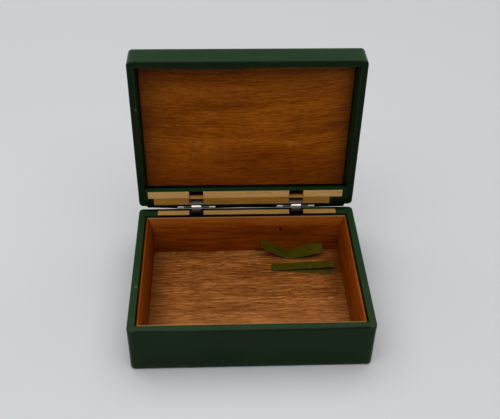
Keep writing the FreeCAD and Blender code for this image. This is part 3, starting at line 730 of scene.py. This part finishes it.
def coverSkin(name, half, shape):
    # stacks the rings; the closed face and the face on the wood each end in a pole
    lowX, highX, lowY, highY = grown(half["inner"], -shape["straightEnd"])
    gapEnds = [x for y, spans in half["gaps"] for span in spans for x in span]
    needed = np.unique(np.round([lowX, highX, *half["foldX"], *gapEnds], 3))
    even = np.linspace(lowX, highX, int((highX - lowX) / shape["sideStep"]) + 1)
    clear = np.min(np.abs(even[:, None] - needed), axis=1) > shape["stopGap"]
    stopsX = np.sort(np.append(even[clear], needed))
    stopsY = np.linspace(lowY, highY, int((highY - lowY) / shape["sideStep"]) + 1)
    rows, wallEnd, chords = coverRows(half, shape)
    rings, wear = [], []
    for rect, radius, height, scale, worn in rows:
        ring = ringPoints(rect, radius, stopsX, stopsY, shape["cornerSteps"]) * scale
        rings.append(np.column_stack([ring, np.full(len(ring), height)]))
        wear.append(np.full(len(ring), worn))
    grid = np.array(rings)
    worn = np.array(wear)
    count = grid.shape[1]
    corners = shape["cornerSteps"] + 1
    faceRows = len(shape["faceScales"])
    wallStart = faceRows + shape["edgeSteps"] + 1
    sidePoints = [np.repeat([0.0, 1.0], [len(stops), corners]) for stops in (stopsX, stopsY) * 2]
    outerRows = slice(faceRows, wallEnd + 1)
    worn[outerRows] = np.maximum(worn[outerRows], shape["cornerWear"] * np.concatenate(sidePoints))
    worn *= half["wear"]
    # slow ripple of the outer faces, square to them and inwards: three sine waves, brought to 0 to 1
    x, y, h = grid[..., 0], grid[..., 1], grid[..., 2]
    wave = np.sin(x * 0.21 + h * 0.13) + np.sin(y * 0.27 - h * 0.17 + 1.3)
    wave += np.sin((x - y) * 0.11 + h * 0.29)
    outward = np.zeros_like(grid)
    outward[:faceRows, :, 2] = -1.0
    outward[wallStart:wallEnd, :, :2] = ringNormals(grid[wallStart, :, :2])
    grid = grid - outward * (shape["ripple"] * (wave[..., None] + 3.0) / 6.0)
    # front wall bowed outwards at its rim, most in the middle
    depth = np.clip((half["inner"][2] - y) / (half["inner"][2] - half["outer"][2]), 0, 1)
    grid[..., 1] -= half["bow"] * depth * (h / half["height"]) ** 1.5 * (1 - (x / half["outer"][1]) ** 2)
    # inner faces that lean in towards their foot at the sides, and a rim that sags a little in front
    liningStart = chords[-1][0] + len(shape["rimShares"]) + 1
    lining = slice(liningStart, liningStart + shape["edgeSteps"] + 1 + shape["innerSteps"])
    deep = np.clip((half["height"] - h[lining]) / shape["recess"], 0, 1)
    beside = np.clip(shape["leanEnd"] - y[lining], 0, 1)
    lean = np.where(x[lining] < 0, half["lean"][0], half["lean"][1])
    grid[lining, :, 0] -= x[lining] / half["inner"][1] * lean * deep * beside
    sagX, sagWide, sag = half["sag"]
    ahead = np.clip(half["inner"][2] + 1 - y[lining], 0, 1)
    grid[lining, :, 1] += sag * np.exp(-((x[lining] - sagX) / sagWide) ** 2) * ahead * (1 - deep)
    # folded edge, which stands out behind the rim
    rear = 2 * corners + len(stopsX) + len(stopsY)
    rearX = stopsX[::-1]
    folded = slice(wallEnd + 1, wallEnd + 2 + shape["edgeSteps"])
    grid[folded, rear:rear + len(rearX), 1] += np.interp(rearX, half["foldX"], half["foldOut"])
    # painted shade: by the slit behind the rim of both halves, over the lid's rim, and along the front rim
    # edge
    paintedShade = np.zeros_like(worn)
    paintedShade[wallEnd + 1 + shape["edgeSteps"]:] = half["rimPaintedShade"]
    paintedShade[lining] = 0.0
    paintedShade[folded, :len(stopsX)] = np.interp(stopsX, stopsX[[0, -1]], half["edgePaintedShade"])
    paintedShade[wallEnd + 1:chords[-1][0] + 1, rear:rear + len(rearX)] = half["paintedShade"]
    grid[..., 2] = half["face"] + half["way"] * grid[..., 2]
    column = np.arange(count)
    following = (column + 1) % count
    row = np.arange(len(rows) - 1)[:, None] * count
    quads = [row + column, row + following, row + count + following, row + count + column]
    quads = np.stack(quads, -1)
    present, faces = rearFaces(rearX, rear, chords, half["gaps"], count)
    cellOf = np.zeros(len(rows) - 1, int)
    for cell, (near, far) in enumerate(chords, start=1):
        cellOf[near:far] = cell
    keep = np.ones(quads.shape[:2], bool)
    keep[:, rear:rear + len(rearX) - 1] = present[cellOf]
    faces += quads[keep].tolist()
    total = len(rows) * count
    bottom = (len(rows) - 1) * count
    faces += np.stack([following, column, np.full(count, total)], -1).tolist()
    faces += np.stack([bottom + column, bottom + following, np.full(count, total + 1)], -1).tolist()
    poles = np.array([[0.0, 0.0, grid[0, 0, 2]], [0.0, 0.0, grid[-1, 0, 2]]])
    points = np.concatenate([grid.reshape(-1, 3), poles])
    if half["body"] == "lid":
        points = swing(points, openTurn)
    marks = {"wear": np.append(worn.ravel(), [0.0, 0.0]), "paintedShade": np.append(paintedShade.ravel(), [0.0, 0.0])}
    mesh = meshOf(name, points, faces, marks)
    green, crease = materials["green_cover"], creaseAngles["cover"]
    return finishPiece(name, mesh, half["body"], green, [half["node"]], crease)


def hingeSpans(part, room):
    # spans of x that both hinges' parts take up, with room beside them
    boxes = [nodeBox(f"{hand}_hinge_{part}") for hand in ("left", "right")]
    return [(low[0] - room, high[0] + room) for low, high in boxes]


def halfSizes(body, boxOf, edges):
    # sizes of one half, read from its CAD nodes with the lid shut
    low, high = boxOf(body + "_cover")
    leftLow, leftHigh = boxOf(body + "_left_wall")
    frontHigh = boxOf(body + "_front_wall")[1]
    backLow = boxOf(body + "_back_wall")[0]
    turnIn, backRoom = coverShape["turnIn"], coverShape["backRoom"]
    innerX, innerY = leftHigh[0] + turnIn, frontHigh[1] + turnIn
    opensUp = body == "base"
    face = low[2] if opensUp else high[2]
    woodFace = leftLow[2] if opensUp else leftHigh[2]
    return {
        "body": body, "node": body + "_cover",
        "outer": (low[0], high[0], low[1], -low[1]),
        "wood": (leftLow[0], -leftLow[0], leftLow[1], leftHigh[1]),
        "woodIn": (leftHigh[0], -leftHigh[0], frontHigh[1], backLow[1]),
        "inner": (innerX, -innerX, innerY, backLow[1] - backRoom),
        "height": high[2] - low[2], "thickness": abs(woodFace - face),
        "face": face, "way": 1.0 if opensUp else -1.0, **edges,
    }


leafFront = nodeBox("left_hinge_base_leaf")[0][1]
boxRear = -nodeBox("base_cover")[0][1]
baseEdges = {
    "gaps": [(leafFront, hingeSpans("spring", coverShape["notchRoom"])), (boxRear - 2.5, [(-61.8, 62.8)])],
    "turnDepth": 5.75, "bow": 0.8, "lean": (0.0, 0.0), "sag": (0.0, 30.0, 0.0),
    "foldX": (-1.0, 1.0), "foldOut": (0.0, 0.0),
    "wear": 1.0, "paintedShade": 0.8, "rimPaintedShade": 0.0, "edgePaintedShade": (0.5, 0.8),
}
lidEdges = {
    "gaps": [(boxRear - 1.2, [(-64.6, 58.8)])],
    "turnDepth": 8.0, "bow": 0.0, "lean": (1.25, 1.95), "sag": (-22.0, 30.0, 1.2),
    "foldX": (
        -69.7, -69.2, -60.0, -48.3, -48.22, -21.78, -21.7, -5.0, 21.7, 21.78, 48.22, 48.3, 69.2, 69.7,
    ),
    "foldOut": (0.0, 1.3, 1.7, 2.4, 0.5, 0.5, 2.6, 2.25, 2.6, 0.5, 0.5, 2.6, 2.2, 0.0),
    "wear": 0.5, "paintedShade": 0.85, "rimPaintedShade": 0.5, "edgePaintedShade": (0.5, 0.5),
}
baseHalf = halfSizes("base", nodeBox, baseEdges)
lidHalf = halfSizes("lid", shutBox, lidEdges)
baseCover = coverSkin("baseCover", baseHalf, coverShape)
lidCover = coverSkin("lidCover", lidHalf, coverShape)
print("covers made:", len(baseCover.data.polygons), len(lidCover.data.polygons), "faces")


# Boards and hinge plates: the CAD shapes with eased edges.

easing = {"board": 0.25, "steel": 0.08, "sheet": 0.15}
# how far the low and high ends shift along x, y and z: the lid's lining leans in beside its panel,
# whose lower end comes close to the batten's facing
endShifts = {"lid_panel": ((0.95, -1.65), (0.0, 0.0), (-0.7, 0.0))}


def easedCopy(name, node, width):
    # merged copy of a CAD node, its flat faces joined again, with a small bevel on every edge
    work = bmesh.new()
    work.from_mesh(nodes[node].data)
    bmesh.ops.remove_doubles(work, verts=work.verts, dist=0.0001 * mm)
    bmesh.ops.dissolve_limit(work, angle_limit=math.radians(1.0), verts=work.verts, edges=work.edges)
    work.verts.index_update()
    places = np.array([vert.co for vert in work.verts]) / mm
    for axis, shift in enumerate(endShifts.get(node, ())):
        ends = np.array([places[:, axis].min(), places[:, axis].max()])
        places[:, axis] = np.interp(places[:, axis], ends, ends + shift)
    faces = [[vert.index for vert in face.verts] for face in work.faces]
    work.free()
    mesh = meshOf(name, places, faces)
    body, crease = nodes[node]["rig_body"], creaseAngles["board"]
    piece = finishPiece(name, mesh, body, finishes[node], [node], crease)
    bevel = piece.modifiers.new("easedEdges", "BEVEL")
    bevel.width = width * mm
    bevel.segments = 2
    bevel.limit_method = "ANGLE"
    bevel.angle_limit = math.radians(crease)
    return piece


boards = {
    "floorBoard": "floor_panel", "frontLiner": "liner_front", "backLiner": "liner_back",
    "leftLiner": "liner_left", "rightLiner": "liner_right", "lidPanel": "lid_panel",
    "lidBatten": "lid_batten", "battenFacing": "batten_facing", "baseBackWall": "base_back_wall",
    "lidBackWall": "lid_back_wall",
}
for name, node in boards.items():
    easedCopy(name, node, easing["board"])
hingePlates = {"BaseLeaf": "base_leaf", "LidLeaf": "lid_leaf", "Spring": "spring"}
for hand in ("left", "right"):
    for plate, words in hingePlates.items():
        easedCopy(hand + plate, f"{hand}_hinge_{words}", easing["steel"])
easedCopy("springRivets", "spring_rivets", easing["steel"])
print("eased boards and hinge plates made")


# Flocked sheet glued flat under the base.

underside = easedCopy("undersideSheet", "underside_sheet", easing["sheet"])
print("underside sheet made")


# Loose strips: a thin rounded section carried along a path. The bent strip is ruled between its front
# and rear edges, whose heights are given along its length; the folded strip goes along one leaf,
# round and back.

bentStrip = {
    "creaseX": 29.4, "frontGap": 9.5, "sink": 0.1, "turn": -1.0, "width": 8.4, "thickness": 0.7, "cup": 0.1,
    "steps": 90, "soft": 0.6, "endLean": 0.0, "leanRun": 4.0, "paleEdges": (0.9, 0.55),
    "stops": (-21.9, -19.0, -13.0, -6.0, 0.0, 8.0, 14.5, 17.5, 24.9),
    "front": (12.4, 9.4, 6.2, 2.7, 0.3, 1.6, 2.9, 4.0, 5.8),
    "rear": (9.6, 9.7, 7.0, 3.4, 0.6, 4.0, 6.1, 6.7, 7.1),
}
foldedStrip = {
    "backGap": 19.0, "rightGap": 5.9, "raise": 0.05, "lowerTurn": -7.6, "lowerShift": 1.3, "upperTurn": 0.4,
    "length": 41.6, "width": 6.5, "thickness": 0.7, "gap": 0.6, "lift": 1.8, "cup": 0.1,
    "steps": 26, "foldSteps": 10, "endLean": 1.15, "leanRun": 4.0, "paleEdges": (0.55, 0.55),
}
stripSection = {"points": 28, "squareness": 0.35, "edgeShare": 0.985, "endPale": 0.25}
linerRight = nodeBox("liner_right")[0][0]
linerBack = nodeBox("liner_back")[0][1]
floorTop = nodeBox("floor_panel")[1][2]


def stripMesh(name, strip, centre, along, side, halfWidth, node):
    # rounded flat section, cupped a little, at each point of the path; side is the way across the
    # strip, and up is square to it and to the path
    up = np.cross(along, side)
    thin = strip["thickness"] / 2
    turn = np.linspace(0, 2 * math.pi, stripSection["points"] + 1)[:-1]
    power = stripSection["squareness"]  # of the oval section: the less, the squarer
    across = np.sign(np.cos(turn)) * np.abs(np.cos(turn)) ** power
    through = thin * np.sign(np.sin(turn)) * np.abs(np.sin(turn)) ** power + strip["cup"] * across ** 2
    points = centre[:, None] + (across * halfWidth[:, None])[..., None] * side[:, None]
    points = points + through[None, :, None] * up[:, None]
    # ends cut askew: the last few millimetres shift along the strip in step with the place across it
    run = np.concatenate([[0.0], np.cumsum(np.linalg.norm(np.diff(centre, axis=0), axis=1))])
    nearEnd = np.clip(1 - np.minimum(run, run[-1] - run) / strip["leanRun"], 0, 1)
    points = points - (strip["endLean"] * nearEnd[:, None] * across)[..., None] * along[:, None]
    rings, around = points.shape[:2]
    ring = np.arange(rings - 1)[:, None] * around
    column = np.arange(around)
    following = (column + 1) % around
    quads = [ring + column, ring + following, ring + around + following, ring + around + column]
    faces = np.stack(quads, -1).reshape(-1, 4).tolist()
    faces += [column[::-1].tolist(), ((rings - 1) * around + column).tolist()]
    cut = np.zeros((rings, around))
    cut[:, across < -stripSection["edgeShare"]] = strip["paleEdges"][0]
    cut[:, across > stripSection["edgeShare"]] = strip["paleEdges"][1]
    cut[[0, -1]] = np.maximum(cut[[0, -1]], stripSection["endPale"])
    mesh = meshOf(name, points.reshape(-1, 3), faces, {"cut": cut.ravel()})
    olive, crease = materials["olive_strip"], creaseAngles["strip"]
    return finishPiece(name, mesh, "base", olive, [node], crease)


def makeBentStrip(strip):
    s = np.linspace(strip["stops"][0], strip["stops"][-1], strip["steps"])
    blur = np.exp(-0.5 * ((s[:, None] - s) / strip["soft"]) ** 2)
    blur /= blur.sum(1, keepdims=True)
    front = blur @ np.interp(s, strip["stops"], strip["front"])
    rear = blur @ np.interp(s, strip["stops"], strip["rear"])
    rise = np.gradient((front + rear) / 2, s)
    run = np.concatenate([[0.0], np.cumsum(np.diff(s) * np.sqrt(1 - ((rise[1:] + rise[:-1]) / 2) ** 2))])
    run = run - np.interp(0.0, s, run)
    turn = math.radians(strip["turn"])
    ahead = np.array([math.cos(turn), math.sin(turn), 0.0])
    aside = np.array([-math.sin(turn), math.cos(turn), 0.0])
    upward = np.array([0.0, 0.0, 1.0])
    creaseZ = floorTop + strip["thickness"] / 2 - strip["sink"]
    crease = np.array([strip["creaseX"], linerBack - strip["frontGap"], creaseZ])
    frontEdge = crease + run[:, None] * ahead + front[:, None] * upward
    rearEdge = crease + run[:, None] * ahead + strip["width"] * aside + rear[:, None] * upward
    centre = (frontEdge + rearEdge) / 2
    side = rearEdge - frontEdge
    wide = np.linalg.norm(side, axis=1, keepdims=True)
    along = np.gradient(centre, axis=0)
    along /= np.linalg.norm(along, axis=1, keepdims=True)
    return stripMesh("bentStrip", strip, centre, along, side / wide, wide[:, 0] / 2, "bent_strip")


def makeFoldedStrip(strip):
    bend = (strip["thickness"] + strip["gap"]) / 2
    reach = np.linspace(1.0, 0.0, strip["steps"])
    angle = np.linspace(-math.pi / 2, -1.5 * math.pi, strip["foldSteps"] + 2)[1:-1]
    x = np.concatenate([reach * strip["length"], bend * np.cos(angle), reach[::-1] * strip["length"]])
    low = strip["thickness"] / 2
    lower = np.full(len(reach), low)
    upper = low + 2 * bend + strip["lift"] * reach[::-1] ** 1.5
    z = np.concatenate([lower, low + bend + bend * np.sin(angle), upper])
    share = np.concatenate([np.zeros(len(reach)), np.linspace(0, 1, len(angle)), np.ones(len(reach))])
    turn = np.radians(strip["lowerTurn"] + (strip["upperTurn"] - strip["lowerTurn"]) * share)
    ahead = np.stack([np.cos(turn), np.sin(turn), np.zeros_like(turn)], 1)
    side = np.stack([-np.sin(turn), np.cos(turn), np.zeros_like(turn)], 1)
    foldX = linerRight - strip["rightGap"] - strip["length"]
    fold = np.array([foldX, linerBack - strip["backGap"], floorTop])
    centre = fold + x[:, None] * ahead
    centre[:, 1] += strip["lowerShift"] * (1 - share)
    centre[:, 2] += z + strip["raise"]
    along = np.gradient(x)[:, None] * ahead + np.gradient(z)[:, None] * np.array([0.0, 0.0, 1.0])
    along /= np.linalg.norm(along, axis=1, keepdims=True)
    halfWidth = np.full(len(x), strip["width"] / 2)
    return stripMesh("foldedStrip", strip, centre, along, side, halfWidth, "folded_strip")


makeBentStrip(bentStrip)
makeFoldedStrip(foldedStrip)
print("strips made")


# Floor, light and camera

studio = {
    "floorSize": 8.0, "floorColour": (0.585, 0.59, 0.603), "floorMottle": 0.015, "mottleScale": 3.0,
    "glowRange": (0.25, 1.5), "floorBounce": 0.25,
    "background": (0.60, 0.605, 0.62), "backdropEnd": (0.35, 0.6), "sky": 0.1,
    "lampSize": 3.0, "lampPlace": (-0.2, 0.0, 1.7), "lampPower": 57.0,
}
camera = {
    "place": (-18.28, -368.028, 384.325), "turn": (50.4559, -0.8097, -2.162),
    "focal": 779.68, "imageWidth": 500, "sensor": 36.0, "nearest": 0.01,
}


def seenRay(tree):
    # one for what the camera sees, also in metal and glass, and nought for light on other surfaces
    path = put(tree, "ShaderNodeLightPath").outputs
    mirrored = calc(tree, "MAXIMUM", path["Is Glossy Ray"], path["Is Transmission Ray"])
    return calc(tree, "MAXIMUM", path["Is Camera Ray"], mirrored)


def makeFloor():
    half = studio["floorSize"] / 2 / mm
    points = np.array([[-half, -half, 0.0], [half, -half, 0.0], [half, half, 0.0], [-half, half, 0.0]])
    mesh = meshOf("studioFloor", points, [[0, 1, 2, 3]])
    material, tree, shader = newMaterial("paleFloor", Roughness=0.9, Specular_IOR_Level=0.0)
    tone = noise(tree, objectPlace(tree), studio["mottleScale"])
    pale = np.array(studio["floorColour"])
    mottle = studio["floorMottle"]
    colour = mixColour(tree, tone, opaque(pale * (1 - mottle)), opaque(pale * (1 + mottle)))
    # far from the box, where the lamp doesn't reach, the floor glows instead and stays as pale
    away = put(tree, "ShaderNodeVectorMath", {0: objectPlace(tree)}, operation="LENGTH")
    glow = spread(tree, away.outputs["Value"], *studio["glowRange"])
    colour = mixColour(tree, glow, colour, opaque((0.0, 0.0, 0.0)))
    dim = opaque([studio["floorBounce"]] * 3)
    seen = seenRay(tree)
    tree.links.new(mixColour(tree, seen, dim, colour), shader.inputs["Base Color"])
    shader.inputs["Emission Color"].default_value = opaque(pale)
    tree.links.new(calc(tree, "MULTIPLY", seen, glow), shader.inputs["Emission Strength"])
    mesh.materials.append(material)
    floor = bpy.data.objects.new("studioFloor", mesh)
    bpy.context.scene.collection.objects.link(floor)


def makeSky():
    world = bpy.data.worlds.new("studioSky")
    bpy.context.scene.world = world
    world.use_nodes = True
    tree = world.node_tree
    tree.nodes.clear()
    dim = opaque([studio["sky"]] * 3)
    way = put(tree, "ShaderNodeTexCoord").outputs["Generated"]
    rise = put(tree, "ShaderNodeSeparateXYZ", {"Vector": way}).outputs["Z"]
    overhead = spread(tree, rise, *studio["backdropEnd"])
    backdrop = mixColour(tree, overhead, opaque(studio["background"]), dim)
    colour = mixColour(tree, seenRay(tree), dim, backdrop)
    light = put(tree, "ShaderNodeBackground", {"Color": colour, "Strength": 1.0})
    output = put(tree, "ShaderNodeOutputWorld")
    tree.links.new(light.outputs["Background"], output.inputs["Surface"])


def makeLamp():
    lamp = bpy.data.lights.new("softTop", "AREA")
    lamp.energy = studio["lampPower"]
    lamp.shape = "SQUARE"
    lamp.size = studio["lampSize"]
    holder = bpy.data.objects.new("softTop", lamp)
    holder.location = studio["lampPlace"]
    bpy.context.scene.collection.objects.link(holder)


def makeCamera():
    data = bpy.data.cameras.new("photoCamera")
    data.sensor_width = camera["sensor"]
    data.lens = camera["focal"] * camera["sensor"] / camera["imageWidth"]
    holder = bpy.data.objects.new("photoCamera", data)
    holder.location = [value * mm for value in camera["place"]]
    holder.rotation_euler = [math.radians(value) for value in camera["turn"]]
    data.clip_start = camera["nearest"]
    bpy.context.scene.collection.objects.link(holder)
    bpy.context.scene.camera = holder


makeFloor()
makeSky()
makeLamp()
makeCamera()
bpy.context.scene.view_settings.view_transform = "Standard"
print("studio made")
